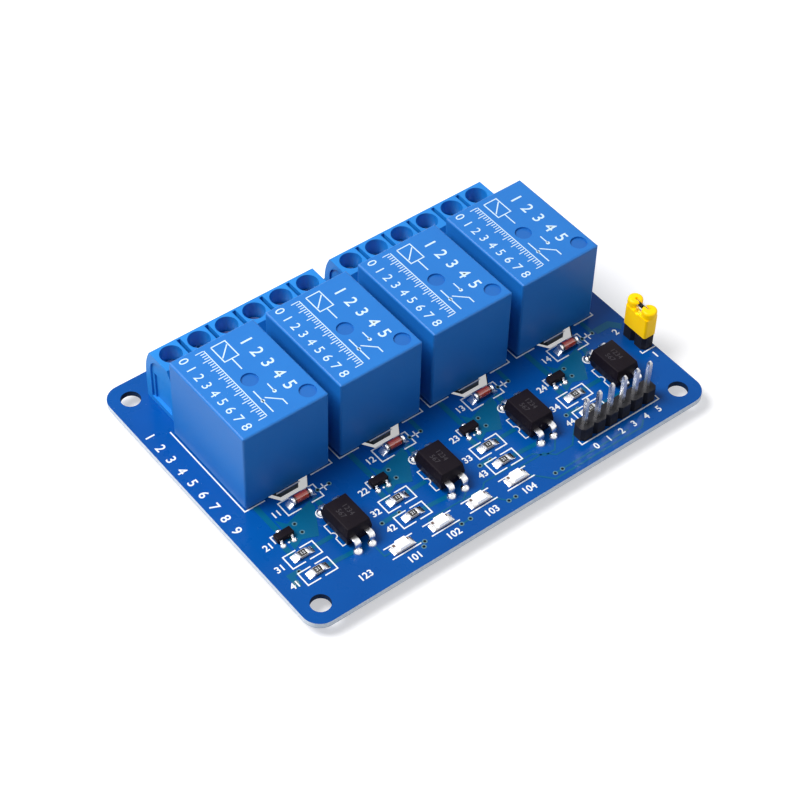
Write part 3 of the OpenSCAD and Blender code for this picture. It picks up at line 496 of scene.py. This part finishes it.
def trackPiece():
    bm = bmesh.new()
    top = boardTop + tracks["rise"]
    thick = tracks["rise"] + tracks["sink"]
    fine = tracks["fine"]
    broad = tracks["broad"]

    def run(points, width=fine):
        ribbon(bm, points, width, top, thick)

    for k in channels:
        x = relayX[k - 1]
        front = relays[k - 1][0].y
        diode = middleOf(f"diode_{k}")
        transistor = middleOf(f"transistor_{k}")
        rear = middleOf(f"rear_resistor_{k}")
        nose = middleOf(f"front_resistor_{k}")
        opto = middleOf(f"optocoupler_{k}")
        run([(transistor.x, front), (transistor.x, transistor.y + 1.2)], broad)
        patch(bm, [(diode.x - 5.4, diode.y - 0.9), (diode.x + 0.9, diode.y - 0.9),
                   (diode.x + 0.9, diode.y - 2.3), (diode.x - 1.9, diode.y - 7.1),
                   (transistor.x, diode.y - 7.1), (transistor.x, diode.y - 6.3),
                   (transistor.x + 1.9, diode.y - 6.1), (transistor.x + 1.9, diode.y - 2.5),
                   (diode.x - 5.4, diode.y - 2.5)], top, thick)
        run([(diode.x + 1.85, diode.y - 0.9), (diode.x + 1.85, diode.y - 2.6),
             (opto.x - 1.27, opto.y + 4.5)], broad)
        run([(transistor.x - 0.95, transistor.y - 1.2), (transistor.x - 0.95, rear.y + 0.4)], broad)
        run([(rear.x + 0.9, rear.y + 0.25), (opto.x - 2.5, rear.y + 0.25)], broad * 0.8)
        run([(nose.x + 0.9, nose.y + 0.1), (opto.x - 1.27, nose.y - 0.3)], broad * 0.8)
        spots = vias["resistor"][k - 1]
        first = (nose.x + spots[0][0], nose.y + spots[0][1])
        second = (nose.x + spots[1][0], nose.y + spots[1][1])
        if k == 1:
            run([first, (second[0], first[1]), (second[0], second[1] - 0.8)], broad)
        else:
            run([first, second], broad * 0.85)
        if k > 1:
            run([(diode.x + 5.3, front), (diode.x + 5.3, diode.y + 0.1)], broad * 0.8)
    lampY = middleOf("indicator_lamp_1").y
    lampX = [middleOf(f"indicator_lamp_{k}").x for k in channels]
    foot = [middleOf(f"optocoupler_{k}") + Vector((1.27, -4.5, 0)) for k in channels]
    # from each optocoupler's front right lead to the left end of its lamp
    run([(foot[0].x, foot[0].y - 0.5), (foot[0].x, lampY + 0.1), (lampX[0] - 1.9, lampY + 0.1)])
    run([(foot[1].x, foot[1].y - 0.4), (foot[1].x - 1.5, lampY + 1.6), (lampX[1] - 1.0, lampY + 1.65),
         (lampX[1] - 1.3, lampY + 1.0)])
    run([(foot[2].x, foot[2].y - 0.4), (foot[2].x - 1.6, lampY + 0.9), (foot[2].x - 3.5, lampY + 0.9),
         (foot[2].x - 4.9, lampY + 2.3), (lampX[2] + 2.8, lampY + 2.3), (lampX[2] + 2.0, lampY + 1.5),
         (lampX[2] - 1.6, lampY + 1.5)])
    run([(foot[3].x - 13.4, lampY + 2.3), (foot[3].x - 13.9, lampY + 2.3), (foot[3].x - 16.2, lampY),
         (foot[3].x - 19.4, lampY), (foot[3].x - 20.8, lampY + 1.4), (lampX[3] + 2.0, lampY + 1.4)])
    # from the lamps' right ends to their vias, and on to the header
    for k in channels:
        (ax, ay), (bx, by) = vias["lamp"][k - 1]
        x = lampX[k - 1]
        if k > 1:
            run([(x + ax, lampY + ay), (x + bx, lampY + by)], 0.3)
        if k < 4:
            run([(x + 1.8, lampY - 0.5), (x + min(ax, bx + 0.6), lampY + max(ay, by))])
    x = lampX[3]
    run([(x + 1.8, lampY - 0.4), (x + 4.7, lampY - 3.6), (x + 22.0, lampY - 3.6),
         (x + 23.2, lampY - 2.6)], 0.3)
    run([(x + 6.75, lampY - 2.7), (x + 20.0, lampY - 2.7)], 0.3)
    jumper = middleOf("jumper_header_strip")
    run([(jumper.x - 4.4, jumper.y + 5.2), (jumper.x - 1.6, jumper.y + 5.2),
         (jumper.x - 0.2, jumper.y + 3.6)], 1.3)
    addPiece("board_tracks", bm, "track", slot="board")


def viaPiece():
    bm = bmesh.new()
    shadeDiscs = bmesh.new()
    for k in channels:
        near = {"transistor": middleOf(f"transistor_{k}"), "diode": middleOf(f"diode_{k}"),
                "resistor": middleOf(f"front_resistor_{k}"), "lamp": middleOf(f"indicator_lamp_{k}")}
        for part, spot in near.items():
            places = vias[part] if isinstance(vias[part][0], tuple) else vias[part][k - 1]
            for x, y in places:
                disc(bm, spot.x + x, spot.y + y, boardTop + tracks["rise"] + 0.01, tracks["ring"],
                     tracks["rise"] + tracks["sink"], 24, tracks["hole"])
                # painted shade: a near-black disc over each via's hole stands for the dark inside it
                disc(shadeDiscs, spot.x + x, spot.y + y, boardTop + tracks["rise"] + 0.005, tracks["hole"] + 0.01,
                     tracks["rise"] + tracks["sink"])
    addPiece("via_rings", bm, "ring", slot="board")
    addPiece("via_shade_discs", shadeDiscs, "viaShade")


trackPiece()
viaPiece()
print("tracks done")


# white print on the board
boardPrint = {"line": 0.2, "height": 0.045, "relayMargin": 0.35, "relayFront": 0.15, "relayBack": 0.45,
              "numeral": 1.15, "bold": 0.03, "scaleNumeral": 1.6, "scaleStep": 2.85}


def printRelayFrames(bm):
    top = boardTop + boardPrint["height"]
    line = boardPrint["line"]
    for x, (low, high) in zip(relayX, relays):
        left = low.x - boardPrint["relayMargin"]
        right = high.x + boardPrint["relayMargin"]
        front = low.y - boardPrint["relayFront"]
        back = high.y + boardPrint["relayBack"]
        for points in ([(x - 4.3, front), (left, front), (left, back)],
                       [(x - 2.25, front), (x + 2.0, front)],
                       [(x + 4.0, front), (right, front), (right, back)]):
            ribbon(bm, points, line, top, boardPrint["height"])


def printSmallParts(bm):
    top = boardTop + boardPrint["height"]
    line = boardPrint["line"]
    height = boardPrint["height"]
    size = boardPrint["numeral"]
    bold = boardPrint["bold"]
    for k in channels:
        spot = middleOf(f"diode_{k}")
        x, y = spot.x, spot.y
        for points in ([(x - 0.9, y + 1.38), (x - 3.2, y + 1.38), (x - 3.2, y - 1.38), (x - 0.9, y - 1.38)],
                       [(x + 1.0, y + 1.38), (x + 3.2, y + 1.38), (x + 3.2, y + 0.45)],
                       [(x + 3.2, y - 0.35), (x + 3.2, y - 1.38), (x + 1.0, y - 1.38)],
                       [(x + 3.45, y), (x + 4.95, y)], [(x + 4.2, y + 0.75), (x + 4.2, y - 0.75)]):
            ribbon(bm, points, line, top, height)
        numeral(bm, str(10 + k), x - 4.5, y - 0.05, top, size, height, weight=bold)

        spot = middleOf(f"transistor_{k}")
        x, y = spot.x, spot.y
        ribbon(bm, [(x - 1.1, y + 1.12), (x - 1.6, y + 1.12), (x - 1.6, y - 0.3)], line, top, height)
        ribbon(bm, [(x + 0.9, y + 1.12), (x + 1.75, y + 1.12)], line, top, height)
        disc(bm, x + 0.1, y - 1.2, top, 0.17, height)
        numeral(bm, str(20 + k), x - 2.85, y - 0.1, top, size, height, weight=bold)

        for row, start in (("rear", 30), ("front", 40)):
            spot = middleOf(f"{row}_resistor_{k}")
            x, y = spot.x, spot.y
            for side in (-1, 1):
                inner = -0.35 if side < 0 else 0.4
                ribbon(bm, [(x + inner, y + 1.3), (x + 2.62 * side, y + 1.3), (x + 2.62 * side, y - 1.3),
                            (x + inner, y - 1.3)], line, top, height)
            numeral(bm, str(start + k), x - 4.1, y - 0.1, top, size, height, weight=bold)

        spot = middleOf(f"indicator_lamp_{k}")
        x, y = spot.x, spot.y
        for side in (-1, 1):
            ribbon(bm, [(x - 2.62, y + 1.12 * side), (x + 2.62, y + 1.12 * side)], line, top, height)
        numeral(bm, f"10{k}", x + 0.3, y - 2.6, top, 1.2, height, weight=bold)

        spot = middleOf(f"optocoupler_{k}")
        left = spot.x - 2.42
        y = spot.y
        bulge = [(left + 0.57 * math.cos(a), y - 0.05 + 0.57 * math.sin(a))
                 for a in (math.radians(d) for d in range(90, -91, -30))]
        ribbon(bm, [(left + 0.6, y + 2.25), (left, y + 2.25), (left, y + 0.52)], line * 0.8, top, height)
        ribbon(bm, bulge, line * 0.8, top, height)
        ribbon(bm, [(left, y - 0.62), (left, y - 2.35), (left + 0.6, y - 2.35)], line * 0.8, top, height)
        ring = [(spot.x - 1.27 + 0.85 * math.cos(a), y + 4.45 + 0.85 * math.sin(a))
                for a in (math.radians(d) for d in range(70, 251, 30))]
        ribbon(bm, ring, line * 0.8, top, height)


def printHeaders(bm):
    top = boardTop + boardPrint["height"]
    line = boardPrint["line"]
    height = boardPrint["height"]
    size = boardPrint["numeral"]
    bold = boardPrint["bold"]
    low, high = boxOf("input_header_strip")
    ribbon(bm, [(low.x - 0.25, low.y + 0.6), (low.x - 0.25, low.y - 0.3), (high.x + 0.25, low.y - 0.3),
                (high.x + 0.25, low.y + 0.6)], line, top, height)
    for i, text in enumerate(("0", "1", "2", "3", "4", "5")):
        x = low.x + (high.x - low.x) * (i + 0.5) / 6
        numeral(bm, text, x + 0.1, low.y - 1.75, top, size, height, weight=bold)
    low, high = boxOf("jumper_header_strip")
    ribbon(bm, [(low.x - 0.3, low.y + 0.3), (low.x - 0.3, low.y - 0.3), (high.x - 0.05, low.y - 0.3)],
           line, top, height)
    numeral(bm, "1", low.x + 1.2, low.y - 1.65, top, 1.2, height, weight=bold)
    numeral(bm, "2", low.x - 0.6, high.y + 0.7, top, 1.2, height, weight=bold)


def printScale(bm):
    # a row of numerals along the left edge, and one more number near the front left corner
    top = boardTop + boardPrint["height"]
    x = boardLow.x + 1.6
    for i in range(9):
        y = 16.2 - i * boardPrint["scaleStep"]
        numeral(bm, str(i + 1), x, y, top, boardPrint["scaleNumeral"], boardPrint["height"],
                turn=-math.pi / 2, weight=0.02)
    numeral(bm, "123", boardLow.x + 11.6, boardLow.y + 3.6, top, boardPrint["numeral"],
            boardPrint["height"], weight=boardPrint["bold"])


bm = bmesh.new()
printRelayFrames(bm)
printSmallParts(bm)
printHeaders(bm)
printScale(bm)
addPiece("board_print", bm, "print")
print("board print done")


relayPrint = {"height": 0.02, "line": 0.19, "marks": ((0.0, -0.4), (5.5, -7.2)), "sink": 0.3,
              "radius": 1.34, "ticks": 33, "tickStep": 0.5, "longTick": 1.5, "shortTick": 0.9,
              "numeral": 2.05, "small": 1.6}


def printRelay(k):
    bm = bmesh.new()
    low, high = relays[k - 1]
    x = relayX[k - 1]
    y = (low.y + high.y) / 2
    top = relayTop + relayPrint["height"]
    height = relayPrint["height"]
    line = relayPrint["line"]
    for i in range(5):
        numeral(bm, str(i + 1), x + 4.2, y + 6.3 - 2.75 * i, top, relayPrint["numeral"], height,
                -math.pi / 2, 0.02)
    # coil sign at the back, contact sign in front of the middle mark
    coil = [(x - 0.9, y + 8.2), (x + 1.6, y + 8.2), (x + 1.6, y + 4.6), (x - 0.9, y + 4.6),
            (x - 0.9, y + 8.2)]
    ribbon(bm, coil, line, top, height)
    ribbon(bm, [(x - 0.7, y + 5.4), (x + 1.4, y + 7.4)], line, top, height)
    ribbon(bm, [(x + 0.35, y + 4.5), (x + 0.35, y + 2.0)], line, top, height)
    ribbon(bm, [(x - 0.9, y - 2.6), (x - 0.9, y - 7.6)], line, top, height)
    ribbon(bm, [(x + 1.6, y - 2.6), (x + 1.6, y - 4.4)], line, top, height)
    ribbon(bm, [(x + 1.6, y - 7.6), (x + 1.6, y - 6.4), (x - 0.3, y - 4.6)], line, top, height)
    disc(bm, x + 1.6, y - 4.4, top, 0.32, height)
    disc(bm, x - 0.9, y - 5.0, top, 0.32, height)
    # tick scale and its numerals on the left
    ribbon(bm, [(x - 2.1, y + 8.3), (x - 2.1, y - 7.7)], line * 0.8, top, height)
    for i in range(relayPrint["ticks"]):
        reach = relayPrint["shortTick" if i % 4 else "longTick"]
        along = y + 8.3 - i * relayPrint["tickStep"]
        ribbon(bm, [(x - 2.25, along), (x - 2.1 - reach, along)], line * 0.8, top, height)
    for i in range(9):
        numeral(bm, str(i), x - 5.6, y + 8.3 - i * 2.0, top, relayPrint["small"], height, -math.pi / 2)
    addPiece(f"relay_print_{k}", bm, "relayPrint")
    marks = bmesh.new()
    # painted shade: a darker disc on the floor of each sunk mark
    for across, along in relayPrint["marks"]:
        disc(marks, x + across, y + along, relayTop - relayPrint["sink"] + 0.01, relayPrint["radius"],
             0.03, 40)
    addPiece(f"relay_mark_shade_{k}", marks, "shade", slot="relay_plastic")


for k in channels:
    printRelay(k)
print("relay print done")


optoLook = {"draft": 0.3, "edge": 0.12, "lead": 0.28, "shoulder": 1.0, "tail": 0.62, "bend": 0.75,
            "pitch": 2.54, "ring": 0.45, "ringIn": 1.15, "numeral": 0.85}


def optoBody(k):
    low, high = boxOf(f"optocoupler_{k}")
    middle = (low + high) / 2
    draft = optoLook["draft"]
    bm = bmesh.new()
    verts = block(bm, low, high)
    # a parting line round the middle, and faces that draw in above and below it
    edges = list({edge for vert in verts for edge in vert.link_edges
                  if abs(edge.verts[0].co.z - edge.verts[1].co.z) > 0.1})
    bmesh.ops.subdivide_edges(bm, edges=edges, cuts=1, use_grid_fill=True)
    for vert in bm.verts:
        if abs(vert.co.z - middle.z) > 0.1:
            vert.co.x -= math.copysign(draft, vert.co.x - middle.x)
            vert.co.y -= math.copysign(draft, vert.co.y - middle.y)
    bmesh.ops.bevel(bm, geom=bm.edges[:], offset=optoLook["edge"], affect="EDGES", segments=3,
                    profile=0.5, material=-1)
    x = low.x + optoLook["ringIn"]
    y = low.y + optoLook["ringIn"]
    ring = bmesh.new()
    disc(ring, x, y, high.z + 0.012, optoLook["ring"], 0.03, 24, 0.38)
    addTo(bm, ring)
    marks = bmesh.new()
    for row, text in enumerate(("1234", "567")):
        numeral(marks, text, middle.x + 0.5 - row * 1.3, middle.y + 0.2, high.z + 0.012,
                optoLook["numeral"], 0.03, -math.pi / 2)
    body = addPiece(f"opto_body_{k}", bm, "resin", slot="black_resin")
    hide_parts(f"optocoupler_{k}")
    addPiece(f"opto_marks_{k}", marks, "mark")


def optoLeads(k):
    low, high = boxOf(f"optocoupler_{k}")
    leadLow, leadHigh = boxOf(f"optocoupler_leads_{k}")
    middle = (low + high) / 2
    foot = (leadHigh.y - leadLow.y) / 2 - optoLook["lead"] / 2
    out = optoLook["lead"] / 2
    root = (high.y - low.y) / 2 - 0.2
    wide = optoLook["shoulder"]
    tail = optoLook["tail"]
    exitZ = middle.z + out
    bend = optoLook["bend"]
    arc = [(foot + out - bend + bend * math.sin(a), exitZ - bend + bend * math.cos(a))
           for a in (math.radians(d) for d in range(0, 91, 15))]
    neck = boardTop + 1.0
    path = ([(root, exitZ, wide)] + [(y, z, wide) for y, z in arc]
            + [(foot + out, neck + 0.2, wide * 0.96), (foot + out, neck, tail + 0.2),
               (foot + out, neck - 0.25, tail), (foot + out, 0.05, tail * 0.85)])
    bm = bmesh.new()
    for x in (-optoLook["pitch"] / 2, optoLook["pitch"] / 2):
        for side in (-1, 1):
            strap(bm, middle.x + x, [(middle.y + side * y, z, w) for y, z, w in path], optoLook["lead"])
    leads = addPiece(f"opto_leads_{k}", bm, "tin", slot="tinned_pins")
    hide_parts(f"optocoupler_leads_{k}")


for k in channels:
    optoBody(k)
    optoLeads(k)
print("optocouplers done")


diodeLook = {"cap": 0.42, "dark": 0.32, "rounding": 0.1, "step": 0.05}


def diodePiece(k):
    low, high = boxOf(f"diode_{k}")
    middle = (low + high) / 2
    radius = (high.y - low.y) / 2
    cap = diodeLook["cap"]
    dark = diodeLook["dark"]
    bm = bmesh.new()
    for start, end in ((low.x, low.x + cap), (high.x - cap, high.x)):
        rod(bm, start, end, middle.y, middle.z, radius, diodeLook["rounding"])
    for start, end in ((low.x + cap, low.x + cap + dark), (high.x - cap - dark, high.x - cap)):
        rod(bm, start, end, middle.y, middle.z, radius - diodeLook["step"], material=2)
    rod(bm, low.x + cap + dark, high.x - cap - dark, middle.y, middle.z, radius - diodeLook["step"],
        material=1)
    diode = addPiece(f"diode_body_{k}", bm, "tin", "amber", "smoke", slot="diode_glass")
    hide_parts(f"diode_{k}")


resistorLook = {"inset": 0.1, "coat": 1.2, "coatDeep": 0.06, "end": 0.38, "rounding": 0.05, "numeral": 0.55}


def resistorPiece(row, k, code):
    low, high = boxOf(f"{row}_resistor_{k}")
    middle = (low + high) / 2
    bm = bmesh.new()
    inset = resistorLook["inset"]
    half = resistorLook["coat"] / 2
    end = resistorLook["end"]
    block(bm, low + Vector((inset, 0.03, 0.03)), high - Vector((inset, 0.03, 0.04)), 0.02, material=0)
    block(bm, (middle.x - half, low.y + inset, high.z - resistorLook["coatDeep"]),
          (middle.x + half, high.y - inset, high.z), 0.03, material=1)
    for start in (low.x, high.x - end):
        block(bm, (start, low.y, low.z), (start + end, high.y, high.z), resistorLook["rounding"],
              material=2)
    marks = bmesh.new()
    numeral(marks, code, middle.x, middle.y, high.z + 0.012, resistorLook["numeral"], 0.02)
    body = addPiece(f"{row}_resistor_body_{k}", bm, "ceramic", "coating", "tin",
                    slot="resistor_ceramic")
    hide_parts(f"{row}_resistor_{k}")
    addPiece(f"{row}_resistor_mark_{k}", marks, "print")


transistorLook = {"width": 1.32, "lift": 0.1, "edge": 0.12, "foot": 0.42, "sheet": 0.12, "spread": 0.95}


def transistorPiece(k):
    low, high = boxOf(f"transistor_{k}")
    middle = (low + high) / 2
    bm = bmesh.new()
    half = transistorLook["width"] / 2
    spread = transistorLook["spread"]
    block(bm, (low.x, middle.y - half, low.z + transistorLook["lift"]), (high.x, middle.y + half, high.z),
          transistorLook["edge"], 3)
    feet = bmesh.new()
    mid = (low.z + high.z) / 2
    path = [(0.5, mid + 0.1), (0.75, mid + 0.1), (0.84, mid), (0.9, low.z + 0.2), (0.98, low.z + 0.13),
            (1.15, low.z + 0.13)]
    for x, side in ((-spread, -1), (spread, -1), (0.0, 1)):
        strap(feet, middle.x + x, [(middle.y + side * y, z, transistorLook["foot"]) for y, z in path],
              transistorLook["sheet"], 0.02)
    body = addPiece(f"transistor_body_{k}", bm, "resin", slot="black_resin")
    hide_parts(f"transistor_{k}")
    addPiece(f"transistor_feet_{k}", feet, "tin", slot="tinned_pins")


lampLook = {"carrier": 0.4, "lens": 2.0, "draft": 0.12, "rounding": 0.06, "land": (1.1, 1.55),
            "holeShade": (1.02, 1.42)}


def lampPiece(k):
    low, high = boxOf(f"indicator_lamp_{k}")
    middle = (low + high) / 2
    bm = bmesh.new()
    half = lampLook["lens"] / 2
    block(bm, low, (high.x, high.y, low.z + lampLook["carrier"]), 0.03, material=1)
    lens = block(bm, (middle.x - half, low.y, low.z + 0.38), (middle.x + half, high.y, high.z), material=0)
    for vert in lens:
        if vert.co.z > middle.z:
            vert.co.x -= math.copysign(lampLook["draft"], vert.co.x - middle.x)
    edges = list({edge for vert in lens for edge in vert.link_edges})
    bmesh.ops.bevel(bm, geom=edges, offset=lampLook["rounding"], affect="EDGES", segments=3,
                    profile=0.5, material=-1)
    for side in (-1, 1):
        # a bright land on the carrier, with a dark block at its back as painted shade in the half-hole
        # there
        near, far = sorted(middle.x + side * reach for reach in lampLook["land"])
        block(bm, (near, low.y + 0.1, low.z + 0.39), (far, high.y - 0.1, low.z + 0.46), 0.01, material=2)
        near, far = sorted(middle.x + side * reach for reach in lampLook["holeShade"])
        block(bm, (near, high.y - 0.5, low.z + 0.39), (far, high.y - 0.08, low.z + 0.5), 0.02, material=3)
    lamp = addPiece(f"lamp_body_{k}", bm, "lens", "haze", "tin", "holeShade", slot="lamp_resin")
    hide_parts(f"indicator_lamp_{k}")


# how far each wedge of solder reaches, how high it rises and how wide it is; then the round drops
solderLook = {
    "overlap": 0.12,
    "wedges": {"diode": (0.75, 0.8, 1.35), "rear_resistor": (0.85, 0.46, 1.35),
               "front_resistor": (0.85, 0.46, 1.35), "indicator_lamp": (0.42, 0.34, 1.5)},
    "foot": (0.52, 0.5, 0.42),
    "lead": (0.78, 0.78, 0.72),
}


def solderPiece():
    bm = bmesh.new()
    base = boardTop
    overlap = solderLook["overlap"]
    spread = transistorLook["spread"]
    for k in channels:
        for part, (reach, rise, width) in solderLook["wedges"].items():
            low, high = boxOf(f"{part}_{k}")
            y = (low.y + high.y) / 2
            wedge(bm, low.x + overlap, low.x - reach, y, width, base, rise)
            wedge(bm, high.x - overlap, high.x + reach, y, width, base, rise)
        low, high = boxOf(f"transistor_{k}")
        x = (low.x + high.x) / 2
        for spot, y in ((-spread, low.y - 0.1), (spread, low.y - 0.1), (0.0, high.y + 0.1)):
            drop(bm, x + spot, y, base, *solderLook["foot"])
        middle = middleOf(f"optocoupler_{k}")
        leadLow, leadHigh = boxOf(f"optocoupler_leads_{k}")
        for x in (-optoLook["pitch"] / 2, optoLook["pitch"] / 2):
            for y in (leadLow.y + optoLook["lead"] / 2, leadHigh.y - optoLook["lead"] / 2):
                drop(bm, middle.x + x, y, base, *solderLook["lead"])
    drops = addPiece("solder_drops", bm, "solder", slot="solder")
    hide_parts("solder_fillets")


for k in channels:
    diodePiece(k)
    resistorPiece("rear", k, "12")
    resistorPiece("front", k, "21")
    transistorPiece(k)
    lampPiece(k)
solderPiece()
print("small parts done")


studio = {
    "fill": 0.24, "floorGlow": 0.5,
    "lamps": {"keyLight": ((-0.22, 0.14, 0.4), 0.3, 2.9, (1.0, 0.99, 0.97)),
              "sideLight": ((0.25, -0.3, 0.3), 0.3, 0.3, (0.95, 0.97, 1.0))},
}


def stageAndLight():
    floor = Finish("paleFloor", Base_Color=(0.8, 0.8, 0.82, 1.0), Roughness=0.9)
    clean = floor.noise(40, 2.0)
    floor.colour(floor.blend(clean, (0.6, 0.6, 0.62), (0.63, 0.63, 0.65)))
    seen = floor.node("LightPath", output="Is Camera Ray")
    glow = floor.node("Emission", {}, {"Color": (1.0, 1.0, 1.0), "Strength": seen * studio["floorGlow"]})
    both = floor.node("AddShader", {}, {0: Sock(floor.tree, floor.shader.outputs[0]), 1: glow})
    floor.feed(floor.out.inputs["Surface"], both)
    bm = bmesh.new()
    bmesh.ops.create_grid(bm, x_segments=8, y_segments=8, size=1.5)
    mesh = bpy.data.meshes.new("floor")
    bm.to_mesh(mesh)
    bm.free()
    mesh.materials.append(floor.material)
    ground = bpy.data.objects.new("floor", mesh)
    bpy.context.scene.collection.objects.link(ground)

    world = bpy.data.worlds.new("studio")
    bpy.context.scene.world = world
    world.use_nodes = True
    tree = world.node_tree
    tree.nodes.clear()
    lit = addNode(tree, "Background", {}, {"Color": (0.92, 0.95, 1.0), "Strength": studio["fill"]})
    plain = addNode(tree, "Background", {}, {"Color": (1.0, 1.0, 1.0)})
    # what is seen straight, mirrored or through glass is plain white, and only the fill lights the board
    straight, glossy, through = (addNode(tree, "LightPath", output=f"Is {ray} Ray")
                                 for ray in ("Camera", "Glossy", "Transmission"))
    mix = addNode(tree, "MixShader", {}, {0: (straight + glossy + through).clipped(), 1: lit, 2: plain})
    addNode(tree, "OutputWorld", {}, {"Surface": mix})

    for name, (at, size, power, colour) in studio["lamps"].items():
        data = bpy.data.lights.new(name, "AREA")
        data.shape = "DISK"
        data.size = size
        data.energy = power
        data.color = colour
        lamp = bpy.data.objects.new(name, data)
        lamp.location = at
        lamp.rotation_euler = (Vector((0, 0, 0.005)) - Vector(at)).to_track_quat("-Z", "Y").to_euler()
        bpy.context.scene.collection.objects.link(lamp)


# the place is in metres, the angles in degrees
view = {"lens": 98.63, "place": (-0.14557, -0.17704, 0.25202), "rise": 47.536, "turn": -39.206,
        "roll": 1.764}


def setCamera():
    data = bpy.data.cameras.new("camera")
    data.lens = view["lens"]
    data.sensor_width = 36.0
    data.clip_start = 0.01
    camera = bpy.data.objects.new("camera", data)
    camera.location = view["place"]
    turn = Matrix.Rotation(math.radians(view["turn"]), 3, "Z")
    tip = Matrix.Rotation(math.radians(90 - view["rise"]), 3, "X")
    roll = Matrix.Rotation(math.radians(view["roll"]), 3, "Z")
    camera.rotation_euler = (turn @ tip @ roll).to_euler()
    bpy.context.scene.collection.objects.link(camera)
    bpy.context.scene.camera = camera


stageAndLight()
setCamera()
bpy.context.scene.view_settings.view_transform = "Standard"
print("stage, light and camera set")
